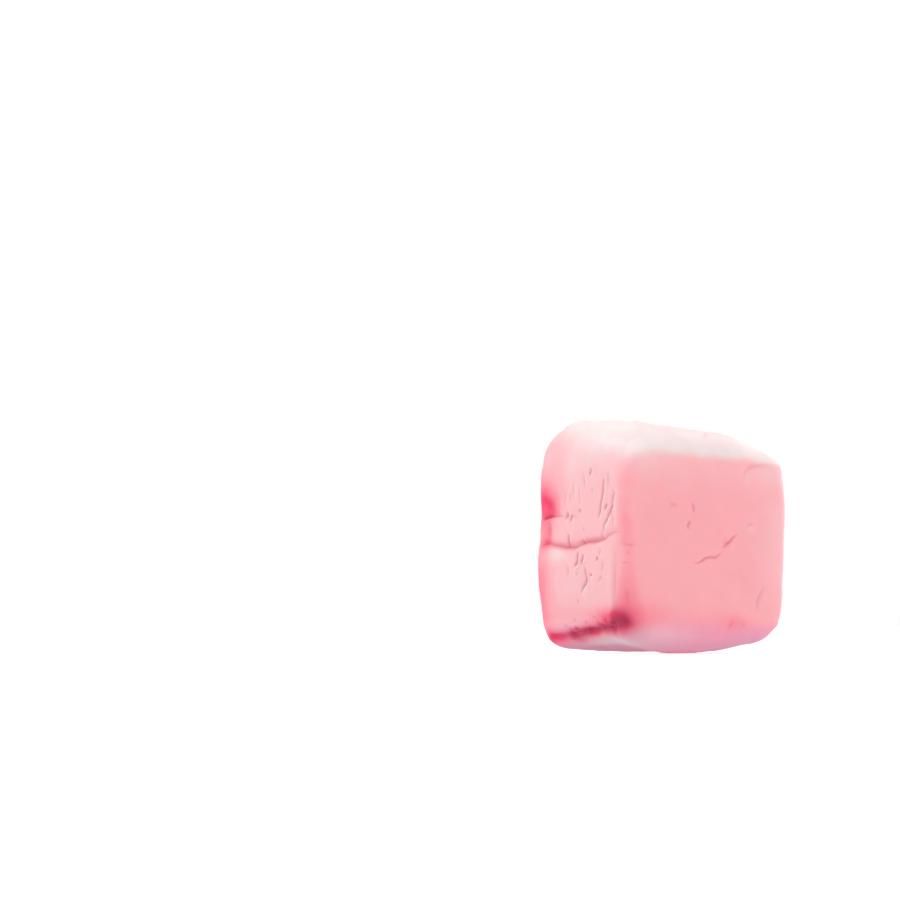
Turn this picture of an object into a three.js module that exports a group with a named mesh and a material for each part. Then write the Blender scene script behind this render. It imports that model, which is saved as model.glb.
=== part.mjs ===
// A soft fruit chew: one small upright block of pink taffy, cut by a machine and creased by
// the paper that was twisted round it. Millimetres, +Z up. The origin is the middle of the
// flat spot it rests on. The broad smooth face looks along -Y and the creased end along -X.

import * as THREE from 'three';
import { mergeVertices } from 'three/addons/utils/BufferGeometryUtils.js';

// Driving dimensions of the block before its corners are pulled about, in millimetres.
const WIDTH = 14.9; // X, across the broad smooth face
const DEPTH = 13.2; // Y, across the creased end
const HEIGHT = 17.15; // Z
const UPRIGHT_RADIUS = 0.95; // rounding of the four upright edges at mid height
const RADIUS_FADE = 3; // how late that rounding opens out towards the top and the base
const SETTLE = 0.35; // how far the soft base has flattened where it stands

// The eight corners: which one, its rounding, and how far it is pulled out of square.
const CORNERS = [
  { at: [-1, -1, -1], radius: 2.6, pull: [0.15, -0.15, 0.25] },
  { at: [1, -1, -1], radius: 2.3, pull: [0.2, -0.2, 0.55] },
  { at: [-1, 1, -1], radius: 2.2, pull: [-0.1, 0.1, 0.3] },
  { at: [1, 1, -1], radius: 3, pull: [0, 0, 0.1] },
  { at: [-1, -1, 1], radius: 2.7, pull: [-0.25, 0.15, 0.25] },
  { at: [1, -1, 1], radius: 1.2, pull: [-0.35, 0.45, -2.05] },
  { at: [-1, 1, 1], radius: 3.25, pull: [0.85, -0.6, 1.45] },
  { at: [1, 1, 1], radius: 2.4, pull: [0, 0, -2.05] },
];

// Broad swells and hollows that handling leaves, each at a place given in half sizes.
const SWELL_REACH = 0.5; // in half sizes
const SWELLS = [
  { at: [-1, 1, 1], height: 0.55 },
  { at: [-1, 0, 1], height: 0.5 },
  { at: [-1, -1, 1], height: -0.5 },
  { at: [0, -1, 1], height: 1.05 },
  { at: [-0.4, -1, -1], height: 0.5 },
  { at: [0.4, -1, -1], height: 0.15 },
  { at: [1, -1, -1], height: -0.95 },
  { at: [-1, 1, 0], height: 0.6 },
  { at: [-1, 0, -1], height: -0.45 },
];

// Creases that the wrapper pressed in, each along a line on the block. A crease cuts to
// `depth` over `above` on its upper side and `below` on its lower side, and the surface
// under it stands `step` proud, fading over `reach`.
const CREASES = [
  { // the fold across the creased end, with a lip under it
    path: [[-7.3, 6, 7.9], [-7.45, 4, 7.6], [-7.45, 1.7, 7.5], [-7.45, 0.1, 7.5],
      [-7.45, -0.6, 8], [-7.45, -3.7, 8.4], [-7.45, -4.8, 8.7], [-7, -6.2, 8.9]],
    depth: 0.24, above: 0.6, below: 0.4, step: 0.28, reach: 2.6,
  },
  { // the furrow where the paper was tucked under, along the foot of the creased end
    path: [[-6.8, 5, 1.1], [-7.2, 4.2, 1.3], [-7.3, 1.8, 1.5], [-7.45, -2, 2.1],
      [-7.4, -4.9, 2.7], [-6.9, -6.1, 2.9]],
    depth: 0.8, above: 0.5, below: 1, step: 0, reach: 1,
  },
  { // the fold across the other end
    path: [[7.3, -5.4, 6.2], [7.45, -3, 6.9], [7.45, 0.5, 7.1], [7.45, 2.4, 7.8],
      [7.3, 5.6, 8.1]],
    depth: 0.22, above: 0.6, below: 0.4, step: 0.24, reach: 2.4,
  },
  { // the tuck along the foot of the other end
    path: [[7.1, -4.6, 1.7], [7.4, -1, 1.5], [7.4, 3, 1.7], [7, 5, 2.1]],
    depth: 0.5, above: 0.5, below: 0.8, step: 0, reach: 1,
  },
];

// Patches pressed in or left standing: a middle, half sizes along each axis, and a height.
const PATCHES = [
  { at: [-7.45, 4.7, 11], half: [2, 1.1, 1.35], height: -0.6 }, // dent by the far edge
  { at: [-7.45, 4.6, 8.5], half: [2, 0.9, 0.65], height: -0.3 }, // hollow beside the fold
  { at: [-7.45, 2.4, 8.7], half: [2, 2.7, 1.15], height: 0.18 }, // flap lying on the fold
  { at: [-7.45, -0.4, 4.9], half: [2, 5, 2.6], height: 0.16 }, // pad under the fold
  { at: [7.45, 0.8, 11.3], half: [2, 3.8, 2.6], height: 0.2 }, // pad on the other end
  { at: [7.45, -4.4, 11.6], half: [2, 0.9, 1.6], height: -0.35 }, // dent on the other end
];

// How finely each edge of the block is divided.
const CELLS = { x: 22, y: 24, z: 32 };

const clamp = THREE.MathUtils.clamp;
const HALF = new THREE.Vector3(WIDTH, DEPTH, HEIGHT).multiplyScalar(0.5);
const AXES = ['x', 'y', 'z'];

// How much each corner has to say at a place given in half sizes, and the blend of one value.
function blendCorners(place, valueOf) {
  const weight = (corner) => AXES.reduce(
    (product, axis, i) => product * (1 + corner.at[i] * clamp(place[axis], -1, 1)) / 2, 1);
  return CORNERS.reduce((sum, corner) => sum + weight(corner) * valueOf(corner), 0);
}

// A point of the unit cube's surface, carried to the rounded block: its place and its
// outward direction. Each edge is a quarter turn of the local radius.
function roundBlock(unit) {
  const cornerRadius = blendCorners(unit, (corner) => corner.radius);
  const middle = 1 - Math.abs(unit.z) ** RADIUS_FADE;
  const radius = cornerRadius + (UPRIGHT_RADIUS - cornerRadius) * middle;
  const place = new THREE.Vector3();
  const outward = new THREE.Vector3();
  for (const axis of AXES) {
    const flat = HALF[axis] - radius;
    const along = Math.abs(unit[axis]) * (flat + radius * Math.PI / 4);
    const turn = clamp((along - flat) / radius, 0, Math.PI / 4);
    place[axis] = Math.sign(unit[axis]) * Math.min(along, flat);
    outward[axis] = Math.sign(unit[axis]) * Math.tan(turn);
  }
  outward.normalize();
  place.addScaledVector(outward, radius);
  return { place, outward };
}

// The nearest point of a crease's line, and how far along the line it lies, from 0 to 1.
function nearestOnPath(point, path) {
  const best = { distance: Infinity };
  for (let i = 0; i < path.length - 1; i += 1) {
    const line = new THREE.Line3(
      new THREE.Vector3(...path[i]), new THREE.Vector3(...path[i + 1]));
    const share = line.closestPointToPointParameter(point, true);
    const near = line.at(share, new THREE.Vector3());
    const distance = near.distanceTo(point);
    if (distance < best.distance) {
      Object.assign(best, { distance, near, along: (i + share) / (path.length - 1) });
    }
  }
  return best;
}

function creaseHeight(point, crease) {
  const { distance, near, along } = nearestOnPath(point, crease.path);
  const isBelow = point.z < near.z;
  const width = isBelow ? crease.below : crease.above;
  const ends = Math.sqrt(Math.sin(Math.PI * clamp(along, 0.04, 0.96)));
  const cut = -crease.depth * ends * Math.exp(-((distance / width) ** 2));
  const proud = isBelow ? crease.step * ends * Math.exp(-((distance / crease.reach) ** 2)) : 0;
  return cut + proud;
}

function patchHeight(point, patch) {
  const squared = AXES.reduce(
    (sum, axis, i) => sum + ((point[axis] - patch.at[i]) / patch.half[i]) ** 4, 0);
  return patch.height * Math.exp(-squared);
}

function swellHeight(place, swell) {
  const squared = AXES.reduce(
    (sum, axis, i) => sum + (place[axis] / HALF[axis] - swell.at[i]) ** 2, 0);
  return swell.height * Math.exp(-squared / (2 * SWELL_REACH ** 2));
}

// One point of the finished surface. Creases and patches are set out on the plain rounded
// block, with z measured from its base.
function surfacePoint(unit) {
  const { place, outward } = roundBlock(unit);
  const share = place.clone().divide(HALF);
  const onBlock = place.clone().setZ(place.z + HALF.z);
  let height = 0;
  for (const swell of SWELLS) height += swellHeight(place, swell);
  for (const crease of CREASES) height += creaseHeight(onBlock, crease);
  for (const patch of PATCHES) height += patchHeight(onBlock, patch);
  const point = onBlock.clone().addScaledVector(outward, height);
  AXES.forEach((axis, i) => {
    point[axis] += blendCorners(share, (corner) => corner.pull[i]);
  });
  point.z = Math.max(point.z - SETTLE, 0);
  return point;
}

// One side of the unit cube as a grid of surface points, with its triangles facing out.
function addSide(positions, across, up, out, sign) {
  const columns = CELLS[across];
  const rows = CELLS[up];
  const first = positions.points.length / 3;
  for (let row = 0; row <= rows; row += 1) {
    for (let column = 0; column <= columns; column += 1) {
      const unit = new THREE.Vector3();
      unit[across] = -1 + 2 * column / columns;
      unit[up] = -1 + 2 * row / rows;
      unit[out] = sign;
      positions.points.push(...surfacePoint(unit).toArray());
    }
  }
  for (let row = 0; row < rows; row += 1) {
    for (let column = 0; column < columns; column += 1) {
      const a = first + row * (columns + 1) + column;
      const b = a + 1;
      const c = a + columns + 1;
      const d = c + 1;
      if (sign > 0) positions.triangles.push(a, b, d, a, d, c);
      else positions.triangles.push(a, d, b, a, c, d);
    }
  }
}

function chewGeometry() {
  const positions = { points: [], triangles: [] };
  for (const sign of [-1, 1]) {
    addSide(positions, 'y', 'z', 'x', sign);
    addSide(positions, 'z', 'x', 'y', sign);
    addSide(positions, 'x', 'y', 'z', sign);
  }
  const loose = new THREE.BufferGeometry();
  loose.setAttribute('position', new THREE.Float32BufferAttribute(positions.points, 3));
  loose.setIndex(positions.triangles);
  const solid = mergeVertices(loose, 1e-5);
  solid.computeBoundingBox();
  const middle = solid.boundingBox.getCenter(new THREE.Vector3());
  solid.translate(-middle.x, -middle.y, 0);
  solid.computeVertexNormals();
  return solid;
}

const taffy = new THREE.MeshStandardMaterial({
  name: 'taffy',
  color: 0xfab2b8,
  roughness: 0.5,
  metalness: 0,
});

const group = new THREE.Group();
const chew = new THREE.Mesh(chewGeometry(), taffy);
chew.name = 'chew';
group.add(chew);

export default group;
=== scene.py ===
# %% [markdown]
# # A soft fruit chew
# One small block of pink taffy: cut by a machine, wrapped in paper while it was still warm,
# and creased where the paper was folded over. This script dresses the plain model of it, so
# the first step loads that model and keeps its box, which the finished chew has to stay in.

# %% Load the plain model
import math

import bpy
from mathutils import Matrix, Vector


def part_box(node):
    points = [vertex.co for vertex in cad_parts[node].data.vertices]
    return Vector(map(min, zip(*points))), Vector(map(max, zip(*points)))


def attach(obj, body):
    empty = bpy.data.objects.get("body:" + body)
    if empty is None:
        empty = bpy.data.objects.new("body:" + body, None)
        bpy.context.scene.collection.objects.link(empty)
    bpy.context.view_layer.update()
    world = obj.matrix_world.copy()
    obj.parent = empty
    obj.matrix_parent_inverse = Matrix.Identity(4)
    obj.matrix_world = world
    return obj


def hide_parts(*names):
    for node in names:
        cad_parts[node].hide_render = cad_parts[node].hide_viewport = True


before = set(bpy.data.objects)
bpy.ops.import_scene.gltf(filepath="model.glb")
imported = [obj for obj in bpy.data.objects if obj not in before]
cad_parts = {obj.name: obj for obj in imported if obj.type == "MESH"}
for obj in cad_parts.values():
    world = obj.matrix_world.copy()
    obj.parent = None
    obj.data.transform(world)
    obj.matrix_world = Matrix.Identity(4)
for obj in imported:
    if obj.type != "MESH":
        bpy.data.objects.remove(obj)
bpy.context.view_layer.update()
cad_low, cad_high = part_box("chew")
print("plain model, mm:", [round(1000 * size, 2) for size in cad_high - cad_low])

# %% [markdown]
# ## Small helpers for node trees
# Both the shape and the finish are made with nodes. A node is added, set and linked in one
# call, and sums read like sums: `number` does maths on one value, `vector` on three. They
# find their own tree by the values they are given. `store` keeps a value on the points of a
# mesh, where a material can read it.

# %% Node helpers
def add(tree, kind, inputs=None, **settings):
    """Adds a node, sets it, and links or fills its inputs by name or number."""
    made = tree.nodes.new(kind)
    for name, value in settings.items():
        setattr(made, name, value)
    for key, value in (inputs or {}).items():
        if isinstance(value, bpy.types.NodeSocket):
            tree.links.new(value, made.inputs[key])
        else:
            made.inputs[key].default_value = value
    return made


def tree_of(values):
    """The tree that the first linked value stands in."""
    return next(value.id_data for value in values if isinstance(value, bpy.types.NodeSocket))


def number(operation, *values, clamp=False):
    """One sum on numbers."""
    return add(tree_of(values), "ShaderNodeMath", dict(enumerate(values)),
               operation=operation, use_clamp=clamp).outputs[0]


def vector(operation, *values, scale=None):
    """One sum on vectors. A length, a distance or a dot product comes out as a number."""
    inputs = dict(enumerate(values))
    if scale is not None:
        inputs["Scale"] = scale
    made = add(tree_of(values), "ShaderNodeVectorMath", inputs, operation=operation)
    is_number = operation in ("LENGTH", "DISTANCE", "DOT_PRODUCT")
    return made.outputs[1 if is_number else 0]


def split(value):
    """The X, Y and Z of a vector."""
    return add(value.id_data, "ShaderNodeSeparateXYZ", {0: value}).outputs


def join(x=0.0, y=0.0, z=0.0):
    """A vector from three numbers."""
    return add(z.id_data, "ShaderNodeCombineXYZ", {0: x, 1: y, 2: z}).outputs[0]


def mix(share, first, second):
    """A blend of two numbers."""
    return add(share.id_data, "ShaderNodeMix", {0: share, 2: first, 3: second},
               data_type="FLOAT").outputs[0]


def store(mesh, name, value, kind="FLOAT"):
    """Keeps a value on the points of a mesh or a curve."""
    return add(mesh.id_data, "GeometryNodeStoreNamedAttribute",
               {0: mesh, "Name": name, "Value": value},
               data_type=kind, domain="POINT").outputs[0]


def move(mesh, how, value):
    """Moves points to a "Position" or by an "Offset"."""
    return add(mesh.id_data, "GeometryNodeSetPosition", {0: mesh, how: value}).outputs[0]


def ramp(value, start_and_end, first_and_last):
    """A soft step: from the first number to the last while the value runs over a range."""
    return add(value.id_data, "ShaderNodeMapRange", {
        "Value": value, 1: start_and_end[0], 2: start_and_end[1],
        3: first_and_last[0], 4: first_and_last[1]},
        interpolation_type="SMOOTHSTEP").outputs[0]


print("node helpers ready")

# %% [markdown]
# ## Trees and groups
# A node tree is a small machine with named inputs and outputs. `new_tree` makes an empty one,
# and `use` places a finished one inside another, so that one rule can be used many times.

# %% Tree helpers
SOCKETS = {
    float: "NodeSocketFloat", int: "NodeSocketInt", Vector: "NodeSocketVector",
    bpy.types.Mesh: "NodeSocketGeometry", bpy.types.Object: "NodeSocketObject",
    bpy.types.Material: "NodeSocketMaterial",
}


def new_tree(name, inputs, outputs):
    """A geometry node tree with named inputs and outputs, each of a kind from SOCKETS."""
    tree = bpy.data.node_groups.new(name, "GeometryNodeTree")
    for label, kind in inputs.items():
        tree.interface.new_socket(label, in_out="INPUT", socket_type=SOCKETS[kind])
    for label, kind in outputs.items():
        tree.interface.new_socket(label, in_out="OUTPUT", socket_type=SOCKETS[kind])
    given = tree.nodes.new("NodeGroupInput").outputs
    result = tree.nodes.new("NodeGroupOutput").inputs
    return tree, given, result


def use(group, inputs):
    """Places a node group inside a tree and returns its outputs."""
    return add(tree_of(inputs.values()), "GeometryNodeGroup", inputs, node_tree=group).outputs


def put(name, data):
    """A new object in the scene."""
    made = bpy.data.objects.new(name, data)
    bpy.context.scene.collection.objects.link(made)
    return made


def bell(height, squared):
    """A height that dies away like a bell, by a squared distance."""
    fall = number("EXPONENT", number("MULTIPLY", squared, -1.0))
    return number("MULTIPLY", height, fall)


print("tree helpers ready")

# %% [markdown]
# ## The eight corners
# No two corners of a chew are alike: each is rounded and pulled its own way as the warm
# block is dropped and wrapped. Every corner gets a radius and a pull in millimetres, and
# anything between the corners is a blend of the eight: first along X, then Y, then Z.

# %% Sizes and corners of the block
WIDTH, DEPTH, HEIGHT = 14.9, 13.2, 17.25  # millimetres along X, Y and Z
UPRIGHT_RADIUS = 0.95  # of the four upright edges at mid height
RADIUS_FADE = 2.5  # how late that rounding opens out towards the top and the base
SETTLE = 0.35  # how far the base has flattened where it stands

CORNERS = [  # rounding, pull; X changes fastest, then Y, then Z
    (2.6, (0.15, -0.15, 0.82)),
    (2.2, (0, -0.15, 1.05)),
    (2.0, (-0.15, 0.1, 0.52)),
    (3.0, (0, 0, 0.1)),
    (3.5, (-0.1, 0.2, 0.2)),
    (1.5, (-0.3, 0.35, -1.95)),
    (3.25, (0.85, -0.6, 1.45)),
    (2.4, (0, 0, -2.05)),
]


def blend_corners(share, values):
    """Mixes eight corner values by a place that runs from -1 to 1 along each axis."""
    as_vector = not isinstance(values[0], float)
    data_type, first, out = ("VECTOR", 4, 1) if as_vector else ("FLOAT", 2, 0)
    zero_to_one = vector("MULTIPLY_ADD", share, (0.5,) * 3, (0.5,) * 3)
    for axis in split(zero_to_one):
        values = [
            add(share.id_data, "ShaderNodeMix", {0: axis, first: a, first + 1: b},
                data_type=data_type).outputs[out]
            for a, b in zip(values[::2], values[1::2])
        ]
    return values[0]


print(len(CORNERS), "corners on a block of", WIDTH, "x", DEPTH, "x", HEIGHT, "mm")

# %% [markdown]
# ## Rounding the block
# A bevel has one width, but here the rounding changes from place to place. So each point of
# a finely divided cube is carried to the rounded block by a rule: it runs along the flat
# until the flat ends, and the rest of its way turns round the local radius. The rule also
# gives the outward direction, which every crease is pressed along later.

# %% The rounding rule as a node group
QUARTER_TURN = math.pi / 2  # each side of an edge makes half of it


def make_rounding():
    tree, given, result = new_tree(
        "round_off",
        {"Unit": Vector, "Half": Vector, "Upright Radius": float, "Radius Fade": float},
        {"Place": Vector, "Outward": Vector})
    unit = given["Unit"]
    reach = vector("ABSOLUTE", unit)
    away = number("POWER", split(reach)["Z"], given["Radius Fade"])
    middle = ramp(away, (0.0, 1.0), (1.0, 0.0))
    corner = blend_corners(unit, [float(radius) for radius, _ in CORNERS])
    upright = mix(middle, corner, given["Upright Radius"])
    radius = join(upright, upright, corner)
    flat = vector("SUBTRACT", given["Half"], radius)
    arc = vector("SCALE", radius, scale=QUARTER_TURN / 2)
    along = vector("MULTIPLY", reach, vector("ADD", flat, arc))
    turn = vector("DIVIDE", vector("SUBTRACT", along, flat), radius)
    turn = vector("MAXIMUM", turn, (0, 0, 0))
    turn = vector("MINIMUM", turn, (QUARTER_TURN / 2,) * 3)
    sign = vector("SIGN", unit)
    outward = vector("MULTIPLY", sign, vector("TANGENT", turn))
    outward = vector("NORMALIZE", outward)
    place = vector("MULTIPLY", sign, vector("MINIMUM", along, flat))
    place = vector("MULTIPLY_ADD", outward, radius, place)
    tree.links.new(place, result["Place"])
    tree.links.new(outward, result["Outward"])
    return tree


round_off = make_rounding()
print("rounding rule:", len(round_off.nodes), "nodes")

# %% [markdown]
# ## Swells and patches
# Soft taffy bulges and sinks under fingers and paper. A swell is a wide hill or hollow,
# placed in half sizes of the block. A bump is a smaller one, placed in millimetres. A patch
# is a small raised or sunken panel with fairly steep sides, such as the flap on the fold or
# the pad below it. Each kind is one small node group that is used many times: a bump uses
# `spot`, which also serves the colours later.

# %% Swells and patches
SWELL_REACH = 0.5  # in half sizes
SWELLS = [  # place in half sizes, height in millimetres
    ((-1, 1, 1), 0.55),
    ((-1, 0, 1), 0.4),
    ((-1, -1, 1), 0.1),
    ((-0.1, -0.7, 1), 0.5),
    ((0.45, -0.6, 1), 0.35),
    ((-0.25, -1, -1), 0.62),
    ((0.5, -1, -1), -0.05),
    ((1, -1, -1), -0.5),
    ((-1, 1, 0), 0.3),
    ((-1, 0, -1), -0.45),
]
BUMPS = [  # middle, half sizes and height, all in millimetres
    ((2.6, -5, 17), (1.8, 4, 3), 0.34),  # on the front rim of the top
    ((-6.2, -3.7, 0), (2.5, 2.8, 1.3), -0.4),  # where the foot of the creased end lifts
]
PATCHES = [  # the same, with steeper sides
    ((-7.45, 5.1, 8.7), (2, 0.7, 0.9), -0.15),  # hollow beside the fold
    ((-7.45, 2.3, 8.9), (2, 2.4, 1), 0.06),  # flap lying on the fold
    ((-7.45, -0.4, 4.7), (2, 5, 2.5), 0.2),  # pad under the fold
    ((7.45, 0.8, 11.3), (2, 3.8, 2.6), 0.2),  # pad on the other end
    ((7.45, -4.4, 11.6), (2, 1.3, 1.8), -0.35),  # dent on the other end
]


def make_swell():
    tree, given, result = new_tree(
        "swell", {"Share": Vector, "At": Vector, "Height": float, "Reach": float},
        {"Height": float})
    away = vector("DISTANCE", given["Share"], given["At"])
    steps = number("DIVIDE", away, given["Reach"])
    squared = number("MULTIPLY", number("MULTIPLY", steps, steps), 0.5)
    tree.links.new(bell(given["Height"], squared), result["Height"])
    return tree


def make_mound(name, is_steep):
    tree, given, result = new_tree(
        name, {"Point": Vector, "At": Vector, "Half": Vector, "Height": float},
        {"Height": float})
    away = vector("DIVIDE", vector("SUBTRACT", given["Point"], given["At"]), given["Half"])
    if is_steep:
        away = vector("MULTIPLY", away, away)
    squared = vector("DOT_PRODUCT", away, away)
    tree.links.new(bell(given["Height"], squared), result["Height"])
    return tree


swell = make_swell()
patch, spot = make_mound("patch", is_steep=True), make_mound("spot", is_steep=False)
print(len(SWELLS), "swells,", len(BUMPS), "bumps and", len(PATCHES), "patches")

# %% [markdown]
# ## Rubbed, red and powdered places, with painted shade and highlight
# Where paper and fingers rubbed the sugar bloom away, the bare taffy shows through redder; the
# same spots also paint shade and highlight into the colour. Each place is a soft spot with a
# middle, half sizes and a strength. One list is for bare taffy and painted shade, one for the
# crimson painted into the deepest folds as bare colour and shade, one for the wine red painted
# shade at their bottom, and one for places that kept more of the bloom, which also paints
# highlights.

# %% Lists of places
RUBBED_AND_SHADED = [  # bare taffy, and painted shade
    ((-7.4, 5.1, 11.4), (2, 2, 1.8), 0.65),  # round the dent
    ((-7.4, 4.8, 8.9), (2, 0.85, 1.1), 0.65),  # beside the flap
    ((-7.2, 5.9, 4), (2, 1.7, 3.8), 1),  # along the far edge below the fold
    ((-7.1, -6.1, 3.4), (1.1, 0.8, 2.1), 0.43),  # low on the near edge
    ((-7.1, -6.1, 8), (0.9, 0.7, 2.4), 0.12),  # half way up it
    ((-7.1, -0.5, 2.6), (2, 6, 0.6), 0.25),  # above the furrow
    ((2, -6.6, 1.9), (1, 1, 0.7), 0.35),  # low on the smooth face
    ((-1, -6.6, 2.1), (6, 1.2, 0.8), 0.2),  # along its foot
    ((-5.2, -6.6, 2.5), (1.6, 1, 1.1), 0.28),
]
CRIMSON_AND_SHADE = [  # reddest in the folds: bare crimson and painted shade
    ((-7.45, 5.7, 10.7), (1.5, 1.2, 1.2), 1),  # bottom of the dent
    ((-7.4, 5.2, 7.9), (1.5, 0.55, 0.35), 0.85),  # far end of the fold
    ((-7.3, -5.4, 2.2), (1.2, 1.3, 0.85), 0.95),  # near end of the furrow
    ((-7.4, -3.2, 1.4), (1.5, 1.6, 0.7), 0.8),
    ((-7.4, -3.7, 2.3), (1.5, 2, 0.7), 0.68),  # the slope above it
    ((-7.4, -0.6, 1), (1.5, 1.8, 0.66), 0.8),  # its middle
    ((-7.3, 2.2, 0.74), (1.5, 1.8, 0.6), 0.72),  # its far half
    ((-7, 4.6, 0.9), (1.5, 1.3, 0.55), 0.75),  # its far end
    ((1.6, -6.6, 8.7), (0.35, 1, 0.35), 0.2),  # on the long crack
]
WINE_SHADE = [  # the darkest bottoms: painted shade
    ((-7.3, -5.6, 2.15), (1, 0.9, 0.75), 0.82),  # near end of the furrow
    ((-7.4, -4.3, 1.5), (1.5, 1.1, 0.6), 0.6),
    ((-7.4, -2.4, 1.15), (1.5, 1.3, 0.55), 0.62),  # its middle
    ((-7.4, 0, 0.95), (1.5, 1.3, 0.5), 0.52),
    ((-7.3, 1.9, 0.7), (1.5, 1.3, 0.5), 0.62),  # its far half
    ((-7.1, -6.1, 3.6), (1.1, 1, 1.6), 0.1),  # the edge above its near end
]
POWDER_AND_HIGHLIGHT = [  # places where more of the bloom is left, and painted highlights
    ((-7.45, 0.3, 14.9), (2, 3, 1.5), 0.4),  # top of the creased end
    ((-6.8, -4.6, 15.6), (3, 3.4, 1.8), 0.65),  # top of the near edge
    ((-7.45, 2.9, 7), (1.5, 1.8, 0.55), 0.55),  # below the fold
    ((-6.8, -2.4, 0.1), (2.2, 4.4, 0.8), 0.92),  # foot of the creased end
    ((7.1, -6.5, 9.5), (2.1, 1.4, 6), 0.3),  # right edge of the smooth face
    ((-6.9, 6.6, 10.4), (1.2, 0.45, 3.6), 0.4),  # far edge beside the dent
    ((-4.5, -6, 1.3), (2.4, 1.5, 0.7), 0.3),  # foot of the smooth face
    ((5.6, -6.6, 15.5), (1.5, 1.5, 0.9), 0.2),  # under its top corner
    ((0, -6.6, 15.2), (9, 1.5, 2.2), 0.15),  # along its top
    ((-7, -6.2, 11.8), (0.5, 0.5, 0.5), 0.2),  # scuffs on the near edge
    ((-6.8, -6.4, 10.5), (0.3, 0.3, 0.4), 0.2),
    ((3.4, -6.6, 14.5), (0.3, 0.5, 0.5), 0.2),  # scuffs on the smooth face
    ((3.95, -6.6, 10.3), (0.35, 0.5, 0.28), 0.3),
]
for label, places in (("rubbed_and_shaded", RUBBED_AND_SHADED), ("crimson", CRIMSON_AND_SHADE), ("wine red", WINE_SHADE),
                      ("powder_and_highlight", POWDER_AND_HIGHLIGHT)):
    print(len(places), label, "places")

# %% [markdown]
# ## Creases as lines
# Every crease starts as a line drawn on the block. The line carries its own measures: how
# deep it cuts, how wide on either side, and how proud one side stands. They are stored as
# attributes on a mesh that has only edges, so one node group can press any number of them.

# %% The line drawer
guides = {}


def draw_lines(name, lines):
    """An edges-only mesh object. Each line is (points, cut, lip, side): cut is its depth and
    its widths on the plain and the proud side; lip is how proud that side stands and how
    far that reaches; side points to it."""
    points, edges = [], []
    measures = {"cut": [], "lip": [], "side": []}
    for path, cut, lip, side in lines:
        start = len(points)
        points += path
        edges += [(start + i, start + i + 1) for i in range(len(path) - 1)]
        for label, measure in (("cut", cut), ("lip", (*lip, 0)), ("side", side)):
            measures[label] += measure * len(path)
    mesh = bpy.data.meshes.new(name)
    mesh.from_pydata(points, edges, [])
    for label, values in measures.items():
        layer = mesh.attributes.new(label, "FLOAT_VECTOR", "POINT")
        layer.data.foreach_set("vector", values)
    guides[name] = put(name, mesh)
    print(name, "-", len(lines), "lines")


BELOW, FAR, NEAR, RIGHT = (0, 0, -1), (0, 1, 0), (0, -1, 0), (1, 0, 0)  # sides for a lip
print("line drawer ready")

# %% [markdown]
# ## The folds and the tucks
# A fold is where the paper was laid over and its edge bit into the end of the block: a line
# with a lip below it. A tuck is the deeper furrow at the foot, where the paper was pushed
# under. Their points follow the creases that can be seen, in millimetres on the block.

# %% Folds and tucks
FOLDS = [
    (  # the fold across the creased end, with a lip under it
        [(-7.3, 6.1, 7.9), (-7.45, 4.2, 7.75), (-7.45, 2.1, 7.55), (-7.45, 0.35, 7.55),
         (-7.45, 0, 7.75), (-7.45, -1.4, 7.95), (-7.45, -2.8, 8.05), (-7.45, -4, 8.2),
         (-7.45, -4.5, 8.45), (-7.45, -5.2, 8.65), (-7.3, -6.2, 8.75)],
        (0.28, 0.35, 0.16), (0.26, 2.4), BELOW),
    (  # the fold across the other end
        [(7.45, -4.6, 6.2), (7.45, -2.6, 6.9), (7.45, 0.5, 7.1), (7.45, 2.4, 7.8),
         (7.3, 5.6, 8.1)],
        (0.28, 0.4, 0.2), (0.24, 2.4), BELOW),
]
TUCKS = [
    (  # the furrow where the paper was tucked under
        [(-7, 5, 0.86), (-7.2, 3.8, 0.62), (-7.3, 2.8, 0.54), (-7.35, 1, 0.74),
         (-7.4, -0.8, 0.9), (-7.45, -2.4, 1.1), (-7.45, -4, 1.35), (-7.4, -4.9, 1.6),
         (-7.3, -5.7, 1.95), (-7, -6.3, 2.25)],
        (0.75, 0.5, 0.6), (0, 1), BELOW),
    (  # the tuck along the foot of the other end
        [(8.3, -4.4, 2.1), (7.7, -3, 1.9), (7.45, -1.6, 1.75), (7.45, 0.5, 1.6),
         (7.45, 2.4, 1.7), (7.6, 4, 1.9), (8.2, 5.4, 2.2)],
        (0.32, 0.5, 0.8), (0, 1), BELOW),
]
draw_lines("Folds", FOLDS)
draw_lines("Tucks", TUCKS)

# %% [markdown]
# ## Pressing a crease
# For every point of the block the group finds the nearest place on the lines. The surface
# sinks there in a soft groove that dies away with distance, and stands a little proud on one
# side, as taffy does where it was pushed. Towards its two ends a crease runs out to nothing,
# and a little noise makes it wander, because no crease is drawn with a ruler.

# %% The pressing group
LINE_STEP = 0.05  # millimetres between the points that a line is redrawn with
WANDER, WANDER_SCALE = 0.14, 1.3  # how far a line strays from the drawn one, and how often


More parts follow.
